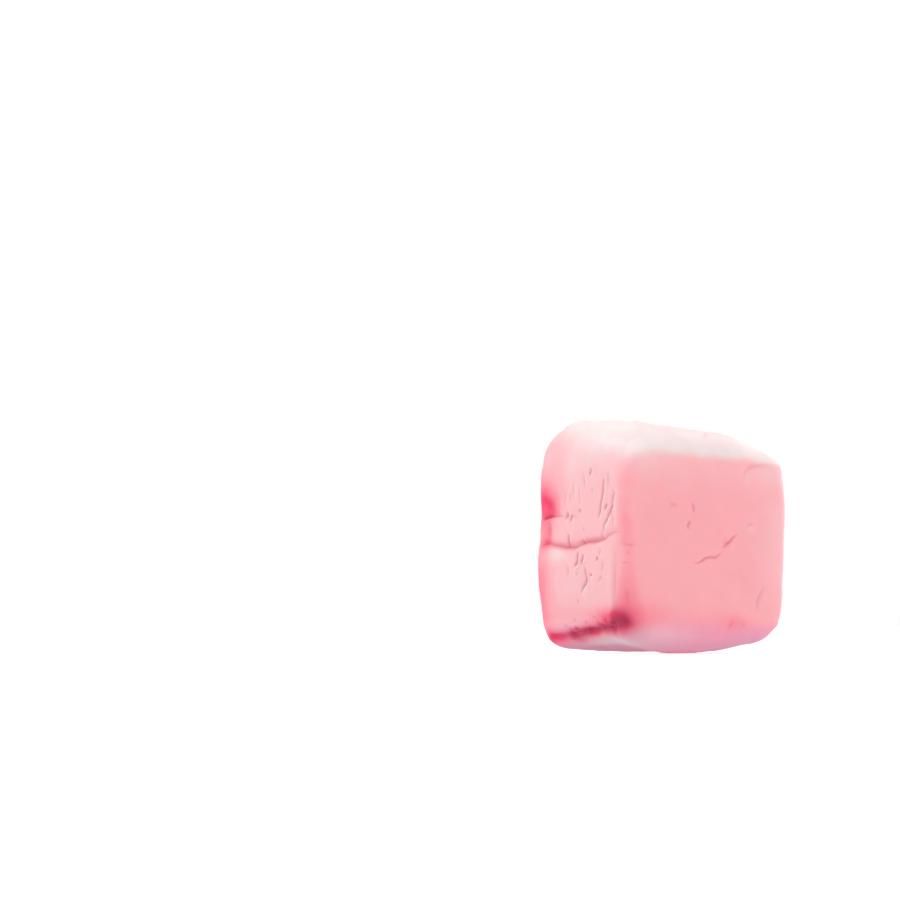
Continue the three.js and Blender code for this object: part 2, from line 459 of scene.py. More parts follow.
def make_press():
    tree, given, result = new_tree(
        "press",
        {"Lines": bpy.types.Mesh, "Point": Vector, "Run Out": float, "Detail": float},
        {"Height": float, "Cut": float, "Proud": float})
    redrawn = add(tree, "GeometryNodeResampleCurve",
                  {"Curve": given["Lines"], "Length": LINE_STEP}, mode="LENGTH")
    wander = add(tree, "ShaderNodeTexNoise",
                 {"Scale": WANDER_SCALE, "Detail": given["Detail"]})
    wander = vector("SUBTRACT", wander.outputs["Color"], (0.5, 0.5, 0.5))
    strayed = move(redrawn.outputs[0], "Offset", vector("SCALE", wander, scale=WANDER))
    along = tree.nodes.new("GeometryNodeSplineParameter").outputs["Factor"]
    arch = number("SINE", number("MULTIPLY", along, math.pi))
    arch = number("MAXIMUM", arch, 0.0)
    tapered = store(strayed, "taper", number("POWER", arch, given["Run Out"]))
    wires = add(tree, "GeometryNodeCurveToMesh", {0: tapered}).outputs[0]
    near = add(tree, "GeometryNodeProximity", {0: wires, 2: given["Point"]},
               target_element="EDGES")
    index = add(tree, "GeometryNodeSampleNearest", {0: wires, 1: given["Point"]}).outputs[0]

    def read(name, kind):
        named = add(tree, "GeometryNodeInputNamedAttribute", {0: name}, data_type=kind)
        return add(tree, "GeometryNodeSampleIndex",
                   {0: wires, 1: named.outputs[0], 2: index}, data_type=kind).outputs[0]

    cut = split(read("cut", "FLOAT_VECTOR"))
    lip = split(read("lip", "FLOAT_VECTOR"))
    away = vector("SUBTRACT", given["Point"], near.outputs["Position"])
    beside = vector("DOT_PRODUCT", away, read("side", "FLOAT_VECTOR"))
    is_proud = number("GREATER_THAN", beside, 0.0)
    width = mix(is_proud, cut[1], cut[2])

    def fading(measure, reach):
        steps = number("DIVIDE", near.outputs["Distance"], reach)
        return bell(measure, number("MULTIPLY", steps, steps))

    taper = read("taper", "FLOAT")
    sunk = number("MULTIPLY", fading(cut[0], width), taper)
    proud = number("MULTIPLY", fading(lip[0], lip[1]), taper)
    proud = number("MULTIPLY", proud, is_proud)
    tree.links.new(number("SUBTRACT", proud, sunk), result["Height"])
    tree.links.new(sunk, result["Cut"])
    tree.links.new(proud, result["Proud"])
    return tree


press = make_press()
print("pressing group:", len(press.nodes), "nodes")

# %% [markdown]
# ## Dents and edges of paper
# The paper also pressed a dent by the far edge. The flap above the fold and the pad below it
# end in shallow steps, and on the back the paper's two sides overlapped in one long line.

# %% Dents and edges
END_X = -7.45  # the creased end's surface


def on_end(*places, x=END_X):
    """Points on the creased end, given as (y, z)."""
    return [(x, y, z) for y, z in places]


DENTS = [
    (on_end((6.6, 9.6), (5.6, 9.7), (4.8, 9.85), (3.4, 9.95), (2, 9.95)),
     (0.34, 1.7, 0.13), (0, 1), BELOW),  # the dent by the far edge, which ends on the flap
]
EDGES = [
    (on_end((4.6, 9.9), (3.7, 9.9), (2.1, 9.9), (1.2, 9.9), (-0.3, 10)),
     (0.06, 0.1, 0.12), (0.04, 0.7), BELOW),  # top of the flap
    (on_end((5.2, 9.6), (4.7, 9.1), (4.5, 8.5), (4.4, 7.8)), (0.08, 0.35, 0.3), (0, 1), FAR),
    (on_end((-5.6, 8.2), (-5.5, 7.3), (-5.35, 5.6), (-5.3, 4.4), (-5.25, 3), (-5.2, 2)),
     (0.14, 0.6, 0.3), (0.04, 0.8), FAR),  # near side of the pad
    ([(1.5, 6.6, 15.6), (1.7, 6.6, 12), (1.3, 6.6, 8), (1.6, 6.6, 4.5), (1.4, 6.6, 1.6)],
     (0.07, 0.12, 0.1), (0.07, 1.2), RIGHT),  # overlap of the paper on the back
]
draw_lines("Dents", DENTS)
draw_lines("Edges", EDGES)

# %% [markdown]
# ## Streaks
# As the paper twisted, it dragged the warm surface into fine streaks with a low ridge beside
# them, and into fainter scratches. The hidden end gets streaks of its own.

# %% Streaks
STREAK_CUT, STREAK_LIP = (0.2, 0.19, 0.15), (0.12, 0.38)
SCRATCH_CUT, OTHER_CUT = (0.08, 0.18, 0.16), (0.09, 0.17, 0.14)
FAINT_LIP = (0.05, 0.35)
STREAKS = [
    ((-4.25, 12.9), (-4.05, 12.35), (-3.95, 11.8), (-3.75, 11.25), (-3.55, 10.85), (-3.4, 10.45),
     (-3.2, 10.1), (-2.95, 9.75)),
    ((-5.4, 12.15), (-5.6, 11.75), (-5.4, 11.2), (-5.35, 10.75), (-4.75, 10.05), (-4.4, 9.75),
     (-3.95, 9.35), (-3.75, 8.95), (-3.55, 8.55)),
    ((-4.5, 10.9), (-4.3, 10.65), (-4.15, 10.4)),
    ((0.8, 10.05), (1, 9.75), (1.2, 9.5)),
    ((1.6, 10.25), (1.75, 9.95), (2, 9.65)),
    ((-0.35, 10.5), (-0.3, 10.2)),
    ((-2.3, 13.55), (-2.15, 13.3), (-1.95, 13)),
    ((1.5, 8.65), (1.5, 8.3), (1.55, 7.9), (1.6, 7.6)),
    ((-0.3, 8.25), (-0.4, 8), (-0.45, 7.75)),
    ((-0.15, 7.35), (-0.1, 6.95), (-0.1, 6.6), (0.05, 6.35), (0.45, 6.1)),
    ((-1, 7.1), (-0.9, 6.8), (-0.75, 6.55), (-0.65, 6.3)),
    ((-1.15, 6.2), (-1.2, 5.75), (-1.3, 5.25), (-1.05, 4.9), (-0.6, 4.6), (-0.2, 4.2)),
    ((-2.05, 5.65), (-1.85, 5.4)),
    ((-3, 7), (-2.95, 6.55)),
]
SCRATCHES = [  # the fainter drag lines
    ((0.65, 12.5), (0.6, 11.9), (0.65, 11.3)),
    ((1.2, 11.7), (1.2, 11.1)),
    ((-1, 13.3), (-1.05, 12.75), (-1.2, 12.1)),
    ((-2.3, 12.05), (-2.2, 11.7)),
    ((-0.25, 12.15), (-0.35, 11.5), (-0.35, 10.8)),
    ((-5.25, 10.3), (-5.4, 9.8), (-5.3, 9.3)),
    ((-0.65, 9.2), (-0.75, 8.85)),
    ((-3.55, 8.9), (-3.45, 8.6), (-3.4, 8.15)),
    ((1.25, 6.35), (1.25, 5.95), (1.3, 5.45)),
    ((0.3, 3.75), (0.5, 3.35)),
    ((-3.55, 7.5), (-3.25, 7)),
    ((-3.9, 6.65), (-3.7, 5.85)),
    ((-3.6, 5.4), (-3.25, 5.2), (-2.95, 5)),
    ((0, 5.8), (0.1, 5.55)),
    ((2.1, 10.7), (2.05, 11.25), (2, 11.85)),
    ((-4.85, 13.35), (-4.8, 12.8), (-4.85, 12.35)),
    ((2.55, 1.85), (2.1, 1.8)),
    ((1.1, 2.35), (0.85, 2.15)),
    ((-0.1, 1.85), (-0.7, 1.95)),
    ((-1.55, 2.3), (-2.1, 2.35)),
    ((-3.55, 2.1), (-4.4, 2.2)),
]
OTHER_STREAKS = [  # on the hidden end
    ((3.9, 12.3), (3.7, 11.7), (3.6, 11.1), (3.3, 10.5), (3.1, 9.9)),
    ((4.9, 11), (4.8, 10.4), (4.3, 9.6), (3.9, 8.9), (3.6, 8.4)),
    ((-1.1, 9.9), (-1.3, 9.3), (-1.4, 8.6), (-1.6, 8)),
    ((0.7, 6.3), (0.8, 5.7), (1.1, 5.1), (0.9, 4.4), (0.6, 3.9)),
    ((-2.2, 6), (-2.1, 5.5), (-1.8, 5)),
    ((2.4, 9.6), (2.3, 9.2), (2.35, 8.7)),
    ((-3.4, 13), (-3.3, 12.4), (-3.5, 11.8), (-3.6, 11.2)),
    ((1.6, 12.6), (1.5, 12), (1.6, 11.4)),
    ((-4.5, 5), (-4.4, 4.4), (-4.1, 3.9)),
]
draw_lines(
    "Streaks",
    [(on_end(*places), STREAK_CUT, STREAK_LIP, NEAR) for places in STREAKS]
    + [(on_end(*places), SCRATCH_CUT, FAINT_LIP, NEAR) for places in SCRATCHES]
    + [(on_end(*places, x=-END_X), OTHER_CUT, FAINT_LIP, FAR) for places in OTHER_STREAKS])

# %% [markdown]
# ## Ripples in the furrow
# Where the paper was pushed under, the taffy gathered into small pits and folds.

# %% Ripples
RIPPLE_CUT = (0.22, 0.23, 0.25)
RIPPLES = [
    ((1.55, 1.45), (1.15, 1.3)),
    ((2.35, 1.25), (2, 0.95), (1.55, 0.75)),
    ((1.65, 1.2), (1.2, 0.9), (0.85, 0.75)),
    ((0.15, 1.25), (-0.05, 1), (0.3, 0.85)),
    ((0.85, 1.2), (0.5, 0.95)),
    ((2.2, 1.4), (1.6, 1.35), (0.75, 1.35)),
    ((-1.85, 1.7), (-2.55, 1.6), (-3.25, 1.65)),
    ((-2.4, 1.5), (-2.95, 1.3), (-3.65, 1.35)),
    ((-3.85, 1.7), (-4.55, 2), (-5.2, 2.15)),
    ((-5.7, 2.45), (-6.05, 2.3), (-6.55, 2.35)),
    ((-0.85, 0.95), (-1.55, 1), (-2.15, 0.95)),
]
draw_lines(
    "Ripples", [(on_end(*places), RIPPLE_CUT, STREAK_LIP, FAR) for places in RIPPLES])

# %% [markdown]
# ## Cracks on the smooth face
# As the taffy dried, a few hair cracks opened in the smooth face. Two longer ones run across
# its middle, and the rest are faint. A few nicks and short strokes lie along the near edge.
# They are pressed like the creases, only finer.

# %% Cracks on the smooth face
FACE_Y = -6.6  # the smooth face's surface


def on_face(*places):
    """Points on the smooth face, given as (x, z)."""
    return [(x, FACE_Y, z) for x, z in places]


CRACKS = [
    ((-1.6, 6.85), (-1.1, 6.85), (-0.7, 7.05), (-0.35, 7.3), (0.1, 7.45), (0.5, 7.4),
     (0.8, 7.6), (1, 7.8), (1.3, 8.05)),
    ((1.1, 8.15), (1.4, 8.45), (1.6, 8.65), (1.9, 8.85), (2.25, 9.2), (2.75, 9.6)),
    ((-1.5, 11.8), (-1.45, 11.6), (-1.35, 11.25), (-1.4, 10.9)),
    ((-1.7, 10.35), (-1.65, 10.15), (-1.8, 9.85), (-1.75, 9.5)),
]
FAINT_CRACKS = [
    ((5.15, 5.35), (4.85, 4.9), (4.65, 4.4), (4.35, 3.95), (4.3, 3.4), (4.25, 2.9)),
    ((1.3, 1.4), (1.6, 1.8), (1.9, 2.2)),
    ((2.9, 2.2), (2.95, 1.85), (3, 1.4)),
    ((-3.55, 11.45), (-3.1, 11.4), (-2.65, 11.35)),
    ((3.55, 10.2), (3.7, 10.45), (4, 10.55), (4.3, 10.4)),
    ((3.1, 14), (3.2, 15), (3.8, 15.5), (6.1, 16.1)),
]
CRACK_CUT, FAINT_CUT = (0.11, 0.09, 0.11), (0.05, 0.15, 0.2)
CRACK_LIP = (0.03, 0.3)
MARKS = [  # nicks and short strokes elsewhere, as points, depth and width
    ([(-4.75, -5.65, 0.2), (-4.35, -5.7, 0.25), (-3.85, -5.65, 0.2)], 0.2, 0.13),
    (on_end((5.9, 9.7), (5.4, 9.75), (4.9, 9.85), (4.4, 9.95)), 0.2, 0.13),
    ([(-7.4, -5.9, 7.9), (-7.2, -6.3, 7.9), (-6.8, -6.55, 7.85), (-6.2, -6.6, 7.95)], 0.06, 0.09),
    ([(-7, -6.4, 7.5), (-6.95, -6.45, 7.1)], 0.07, 0.09),
    ([(-7.3, -6.1, 6.5), (-7.1, -6.35, 6.5), (-6.8, -6.5, 6.55)], 0.06, 0.09),
    ([(-7.05, -6.4, 4.4), (-7.1, -6.35, 3.8), (-7, -6.4, 3.3)], 0.1, 0.12),
]
draw_lines(
    "Cracks",
    [(on_face(*places), CRACK_CUT, CRACK_LIP, BELOW) for places in CRACKS]
    + [(on_face(*places), FAINT_CUT, CRACK_LIP, BELOW) for places in FAINT_CRACKS]
    + [(points, (depth, width, width), CRACK_LIP, BELOW) for points, depth, width in MARKS])

# %% [markdown]
# ## The finish of the taffy
# Taffy is a dense, slightly translucent sugar paste: light goes a little way in and comes out
# redder, so creases glow crimson instead of going grey. A dry bloom of sugar lies on the faces
# and is rubbed thin along the edges. The colour is therefore laid in layers: a darker, cooler
# painted shade on the turned-under foot, then bare pink over the dusted one, which also paints
# shade on the edges, the foot and round the creases, then bloom, which also paints highlights on
# upper rims and ridges, then the crimson and wine red of the creases and the dusky pink of the
# finest grooves, which are painted shade, the crimson partly the bare colour. Values that the
# shape tree stores say how much of each shows, and noise breaks them up.

# %% Taffy material
POWDER_AND_HIGHLIGHT_PINK = (0.805, 0.725, 0.71, 1)  # the sugar bloom, also used as painted highlight
DUSTED_PINK = (0.94, 0.415, 0.44, 1)  # of the smooth faces
PALE_PINK = (0.87, 0.47, 0.487, 1)  # of the two creased ends
BARE_AND_SHADED_PINK = (0.91, 0.19, 0.265, 1)  # where the bloom is rubbed off, also used as painted shade
UNDER_SHADE_PINK = (0.84, 0.36, 0.47, 1)  # painted shade of the turned-under foot, darker and cooler
# bare crimson and painted shade in the creases
CREASE_AND_SHADE_PINK = (0.84, 0.05, 0.14, 1)
# painted shade at the bottoms of the creases
WINE_SHADE_PINK = (0.42, 0.02, 0.08, 1)
DUSK_PINK = (0.45, 0.2, 0.235, 1)  # of the finest grooves, which light hardly enters
MILLIMETRE = 0.001
GRAIN_SCALE, GRAIN_SHARE = 9.0, 0.35  # sugar grains for each millimetre, and their height
RIPPLE_SCALE = 1.1  # the softer unevenness under them
BUMP_DEPTH = 0.05  # millimetres


def make_taffy():
    material = bpy.data.materials.new("taffy")
    material.use_nodes = True
    tree = material.node_tree
    tree.nodes.clear()
    place = tree.nodes.new("ShaderNodeTexCoord").outputs["Object"]
    place = vector("SCALE", place, scale=1 / MILLIMETRE)

    def noise(scale, detail, roughness=0.5):
        return add(tree, "ShaderNodeTexNoise", {
            "Vector": place, "Scale": scale, "Detail": detail,
            "Roughness": roughness}).outputs["Fac"]

    def varied(cloud, low, high, usual=(0.3, 0.7)):
        """Stretches the usual range of a noise from low to high."""
        return add(tree, "ShaderNodeMapRange", {
            "Value": cloud, 1: usual[0], 2: usual[1], 3: low, 4: high}).outputs[0]

    def stored(name):
        return add(tree, "ShaderNodeAttribute", attribute_name=name).outputs["Fac"]

    def blend(share, first, second):
        return add(tree, "ShaderNodeMix", {0: share, 6: first, 7: second},
                   data_type="RGBA").outputs[2]

    mottle = varied(noise(scale=0.35, detail=3.0), low=-0.06, high=0.06)
    drift = varied(noise(scale=0.5, detail=3.0), low=-0.14, high=0.1, usual=(0.35, 0.65))
    patchy = varied(noise(scale=0.8, detail=0.0), low=0.8, high=1.15)
    rough = varied(noise(scale=1.4, detail=3.0), low=0.5, high=0.68)

    # The layers below: the bare pink carries wear and painted shade, the bloom sugar and painted
    # highlight, the turned-under foot painted shade, and the crease colours painted shade over
    # bare crimson.
    bare_and_shaded = number("ADD", stored("worn"), mottle, clamp=True)
    bloom = number("MULTIPLY_ADD", stored("endwise"), drift, stored("bloom"))
    bloom = number("ADD", bloom, 0.0, clamp=True)
    sunken = number("MULTIPLY", stored("sunken"), patchy, clamp=True)
    deep = number("MULTIPLY", stored("deep"), patchy, clamp=True)
    colour = blend(stored("endwise"), DUSTED_PINK, PALE_PINK)
    for share, layer in ((stored("under"), UNDER_SHADE_PINK), (bare_and_shaded, BARE_AND_SHADED_PINK),
                         (bloom, POWDER_AND_HIGHLIGHT_PINK), (sunken, CREASE_AND_SHADE_PINK), (deep, WINE_SHADE_PINK),
                         (stored("dusky"), DUSK_PINK)):
        colour = blend(share, colour, layer)

    grain = number("MULTIPLY", noise(GRAIN_SCALE, 2.0, roughness=0.6), GRAIN_SHARE)
    unevenness = number("ADD", noise(RIPPLE_SCALE, 2.0), grain)
    bump = add(tree, "ShaderNodeBump", {
        "Height": unevenness, "Distance": BUMP_DEPTH * MILLIMETRE, "Strength": 0.5})
    shader = add(tree, "ShaderNodeBsdfPrincipled", {
        "Base Color": colour, "Roughness": rough, "Normal": bump.outputs[0],
        "IOR": 1.45, "Specular IOR Level": 0.35,
        "Subsurface Weight": 0.8, "Subsurface Scale": 0.6 * MILLIMETRE,
        "Subsurface Radius": (1.0, 0.42, 0.45)})
    out = tree.nodes.new("ShaderNodeOutputMaterial")
    tree.links.new(shader.outputs[0], out.inputs["Surface"])
    return material


taffy = make_taffy()
print("taffy:", len(taffy.node_tree.nodes), "nodes")

# %% [markdown]
# ## Wrinkles laid at random
# The back, the top and the hidden end have a few faint wrinkles that lie as they like. Points
# are scattered over those sides from a fixed seed, each gets a short straight line that is
# turned and sized at random, and the line is then pressed like a drawn one.

# %% Random wrinkles
WRINKLES_PER_AREA = 0.035  # on each square millimetre of the back
WRINKLE_SHARES = {"Y": 1.0, "Z": 0.8, "X": 0.5}  # of that on the back, the top and the end
WRINKLE_FACING = (0.7, 0.95)  # how squarely a place has to face that way
WRINKLE_TURN = (-0.6, 1.0)  # radians
WRINKLE_LENGTH = (1.2, 3.4)  # millimetres
WRINKLE_CUT, WRINKLE_LIP = (0.06, 0.13, 0.16), (0.02, 0.4, 0)


def scatter_wrinkles(tree, surface, outward, density, seed):
    """Short lines laid at random on the back, the top and the hidden end."""
    lie = split(outward)
    share = 0.0
    for axis, most in WRINKLE_SHARES.items():
        share = number("ADD", share, ramp(lie[axis], WRINKLE_FACING, (0.0, most)))
    dots = add(tree, "GeometryNodeDistributePointsOnFaces", {
        0: surface, "Density": number("MULTIPLY", share, density), "Seed": seed})
    stroke = add(tree, "GeometryNodeCurvePrimitiveLine",
                 {"Start": (-0.5, 0, 0), "End": (0.5, 0, 0)}).outputs[0]

    def chance(low_and_high):
        return add(tree, "FunctionNodeRandomValue", {
            2: low_and_high[0], 3: low_and_high[1], 8: seed}).outputs[1]

    facing = add(tree, "FunctionNodeRotateRotation", {
        0: dots.outputs["Rotation"], 1: join(z=chance(WRINKLE_TURN))},
        rotation_space="LOCAL").outputs[0]
    laid = add(tree, "GeometryNodeInstanceOnPoints", {
        0: dots.outputs[0], "Instance": stroke, "Rotation": facing,
        "Scale": chance(WRINKLE_LENGTH)})
    lines = add(tree, "GeometryNodeRealizeInstances", {0: laid.outputs[0]}).outputs[0]
    for label, value in (("cut", WRINKLE_CUT), ("lip", WRINKLE_LIP), ("side", BELOW)):
        lines = store(lines, label, value, "FLOAT_VECTOR")
    return lines


print("wrinkles for each square millimetre:", WRINKLES_PER_AREA)

# %% [markdown]
# ## The block and its soft forms
# The tree is put together from short functions. The first makes the divided and rounded
# block and keeps its outward directions. Another adds up the swells, bumps, patches and
# lumps into a height at every point.

# %% Block and soft forms
LUMP_SCALE, LUMP_DETAIL, LUMP_ROUGHNESS = 0.28, 3.0, 0.45


def make_block(tree, given):
    """The divided and rounded block round its centre, and its half sizes."""
    size = join(given["Width"], given["Depth"], given["Height"])
    half = vector("SCALE", size, scale=0.5)
    cube = add(tree, "GeometryNodeMeshCube", {
        "Size": (2, 2, 2), "Vertices X": given["Columns"],
        "Vertices Y": given["Rows"], "Vertices Z": given["Layers"]}).outputs[0]
    rounded = use(round_off, {
        "Unit": tree.nodes.new("GeometryNodeInputPosition").outputs[0], "Half": half,
        "Upright Radius": given["Upright Radius"], "Radius Fade": given["Radius Fade"]})
    kept = store(cube, "outward", rounded["Outward"], "FLOAT_VECTOR")
    return move(kept, "Position", rounded["Place"]), half


def clouds(place, seed, scale, detail, roughness=0.5):
    """Noise on the block, less a half, so that it goes both ways."""
    made = add(place.id_data, "ShaderNodeTexNoise", {
        "Vector": place, "W": seed, "Scale": scale, "Detail": detail,
        "Roughness": roughness}, noise_dimensions="4D").outputs[0]
    return number("SUBTRACT", made, 0.5)


def add_places(on_block, places, total, group=spot):
    """Adds the height or the strength at every place in a list to a total."""
    for at, half_size, height in places:
        total = number("ADD", total, use(group, {
            "Point": on_block, "At": at, "Half": half_size, "Height": height})[0])
    return total


def soft_forms(given, place, share, on_block):
    """The height of the swells and bumps, of the patches, and of the random lumps."""
    soft = 0.0
    for at, height in SWELLS:
        soft = number("ADD", soft, use(swell, {
            "Share": share, "At": at, "Height": height, "Reach": SWELL_REACH})[0])
    soft = add_places(on_block, BUMPS, soft)
    panels = add_places(on_block, PATCHES, 0.0, patch)
    lumps = clouds(place, given["Seed"], LUMP_SCALE, LUMP_DETAIL, LUMP_ROUGHNESS)
    return soft, panels, number("MULTIPLY", lumps, given["Lump Height"])


print("block and soft forms ready")

# %% [markdown]
# ## Pressing every kind of line
# Each kind of line has its own colours, and they paint the line's shade: a fold turns crimson,
# partly bare colour and partly painted shade, the pits in the furrow turn a wine red painted
# shade, and a fine streak a dusky painted shade. So a line adds its share of each for every
# millimetre that it cuts. The ridges beside the streaks catch more of the sugar bloom, which also
# paints a highlight on them.

# %% Kinds of line
KINDS = {  # how crimson (bare colour and painted shade), wine red and dusky (painted shade) a millimetre of depth is, run-out, detail
    "Folds": (1.3, 0.2, 0.3, 0.5, 2), "Tucks": (0.6, 0.5, 0, 0.5, 0),
    "Dents": (1.2, 0, 0, 2, 0), "Edges": (1.0, 0, 0.6, 0.7, 2),
    "Streaks": (1.3, 0.1, 2.2, 0.6, 2), "Ripples": (1, 2.2, 0, 0.8, 1),
    "Cracks": (2.6, 0.4, 1.8, 1, 2), "Wrinkles": (1.5, 0, 1.2, 1, 2)}
RIDGED = ("Streaks", "Wrinkles")
RIDGE_POWDER_AND_HIGHLIGHT = 7.0  # how much more bloom, and with it painted highlight, a millimetre of raised ridge keeps


def press_lines(tree, given, on_block, wrinkles):
    """Presses every kind of line, and adds up their height and what they do to the colour."""
    total = dict.fromkeys(("height", "crimson", "wine", "dusk", "bloom"), 0.0)
    for label, (redness, darkness, duskiness, run_out, detail) in KINDS.items():
        if label == "Wrinkles":
            curves = wrinkles
        else:
            drawn = add(tree, "GeometryNodeObjectInfo", {0: given[label]})
            curves = add(tree, "GeometryNodeMeshToCurve",
                         {0: drawn.outputs["Geometry"]}).outputs[0]
        pressed = use(press, {
            "Lines": curves, "Point": on_block, "Run Out": run_out, "Detail": detail})
        total["height"] = number("ADD", total["height"], pressed["Height"])
        for name, share in (("crimson", redness), ("wine", darkness), ("dusk", duskiness)):
            total[name] = number("MULTIPLY_ADD", pressed["Cut"], share, total[name])
        if label in RIDGED:
            total["bloom"] = number(
                "MULTIPLY_ADD", pressed["Proud"], RIDGE_POWDER_AND_HIGHLIGHT, total["bloom"])
    return total


print(len(KINDS), "kinds of line")

# %% [markdown]
# ## What the finish has to know
# The material can't see the shape, so the tree tells it, point by point: how worn a place is and
# how much painted shade it gets, how much bloom and painted highlight lies on it, how red and how
# darkly painted it is from a crease, and whether it is on a creased end or turned under, which is
# painted in a darker, cooler shade. Much of it follows from the outward direction: bloom and a
# painted highlight settle on what looks up, and the upright edges and the foot are worn and
# painted darker.

# %% Measures for the finish
RIM = ((0.18, 0.48), (0.0, 0.9))  # bloom and painted highlight on a smooth face's upper rim, by how far it looks up
END_RIM = ((0.2, 0.95), (0.0, 0.85))  # the same on the creased ends and the back
TOP = ((0.8, 1.0), (1.0, 0.8))  # a little less on the top itself
UNDER_SHADE = ((0.0, -0.45), (0.0, 1.0))  # painted shade on the turned-under foot, by how far it looks down
ENDWISE = ((0.3, 0.95), (0.0, 1.0))  # the two ends, by how far a place looks along X
BACKWARD = ((0.0, 0.6), (0.0, 1.0))  # the back, by how far it looks along Y
CONTACT_SHADE = ((0.35, 0.0), (0.0, 1.0))  # painted contact shade, by the height above the floor, in millimetres
RIM_SCALE, RIM_UNEVEN = 0.45, 0.3  # how often and how far the rim of bloom wanders
EDGE_WEAR_AND_SHADE, PANEL_WEAR_AND_SHADE = 0.45, -0.3  # wear and painted shade of the upright edges, and by a panel's millimetres
# crimson of the painted contact shade
CONTACT_SHADE_CRIMSON = 0.08
DARKEST_DUSK = 0.6
MARKED_FROM = 0.03  # a point redder or darker than this belongs to a crease or a mark


def finish_measures(given, place, on_block, outward, above_floor, panels, lines):
    """The attributes for the finish, by name."""
    facing = split(outward)
    across = split(vector("ABSOLUTE", outward))
    contact_shade = ramp(above_floor, *CONTACT_SHADE)
    endwise = ramp(across["X"], *ENDWISE)

    # Wear and painted shade: rubbed spots, sunken panels, upright edges and the contact line.
    dented = number("MULTIPLY", panels, PANEL_WEAR_AND_SHADE, clamp=True)
    rubbed_and_shaded = add_places(on_block, RUBBED_AND_SHADED, dented)
    edge = number("MULTIPLY", across["X"], across["Y"])
    edge = number("MULTIPLY_ADD", edge, EDGE_WEAR_AND_SHADE, contact_shade)
    worn = number("ADD", edge, rubbed_and_shaded, clamp=True)

    # Crimson of bare taffy and painted crease shade.
    sunken = add_places(on_block, CRIMSON_AND_SHADE, lines["crimson"])
    sunken = number("MINIMUM", sunken, 1.0)
    sunken = number("MULTIPLY_ADD", contact_shade, CONTACT_SHADE_CRIMSON, sunken, clamp=True)
    # Wine red painted shade at the bottoms of the creases.
    deep = number("MINIMUM", add_places(on_block, WINE_SHADE, lines["wine"]), 1.0)
    dusky = number("MINIMUM", lines["dusk"], DARKEST_DUSK)

    # Sugar bloom and painted highlight: on what looks up, on listed places and on ridges.
    uneven = clouds(place, given["Seed"], RIM_SCALE, 2.0)
    up = number("MULTIPLY_ADD", uneven, RIM_UNEVEN, facing["Z"])
    wide = number("MAXIMUM", endwise, ramp(facing["Y"], *BACKWARD))
    rim = mix(wide, ramp(up, *RIM), ramp(up, *END_RIM))
    rim = number("MULTIPLY", rim, ramp(up, *TOP))
    powder_and_highlight = add_places(on_block, POWDER_AND_HIGHLIGHT, lines["bloom"])
    clear = number("MULTIPLY", number("SUBTRACT", 1.0, rim),
                   number("SUBTRACT", 1.0, powder_and_highlight, clamp=True))
    bloom = number("SUBTRACT", 1.0, clear, clamp=True)

    marked = number("ADD", number("ADD", sunken, deep), dusky)
    return {"marked": number("GREATER_THAN", marked, MARKED_FROM), "sunken": sunken,
            "deep": deep, "dusky": dusky, "worn": worn, "bloom": bloom,
            "under": ramp(up, *UNDER_SHADE), "endwise": endwise}


print("measures for the finish ready")

# %% [markdown]
# ## The whole chew in one tree
# The cube is divided finely, rounded, and then every measure is added up into one height
# along the outward direction. The corners' pull comes last, as on the real sweet, which was
# creased square and then squeezed out of true. What would sink below the floor is flattened
# on it: that is the spot the chew stands on.

# %% Build the tree
CELLS_PER_MM = 15
FAR_OUT = 1000.0  # millimetres, further than any point
SETTINGS = {
    "Width": WIDTH, "Depth": DEPTH, "Height": HEIGHT,
    "Upright Radius": UPRIGHT_RADIUS, "Radius Fade": RADIUS_FADE, "Settle": SETTLE,
    "Columns": round(WIDTH * CELLS_PER_MM), "Rows": round(DEPTH * CELLS_PER_MM),
    "Layers": round(HEIGHT * CELLS_PER_MM), "Lump Height": 0.5, "Seed": 3.0,
    "Wrinkle Density": WRINKLES_PER_AREA, "Wrinkle Seed": 5, **guides, "Material": taffy,
}


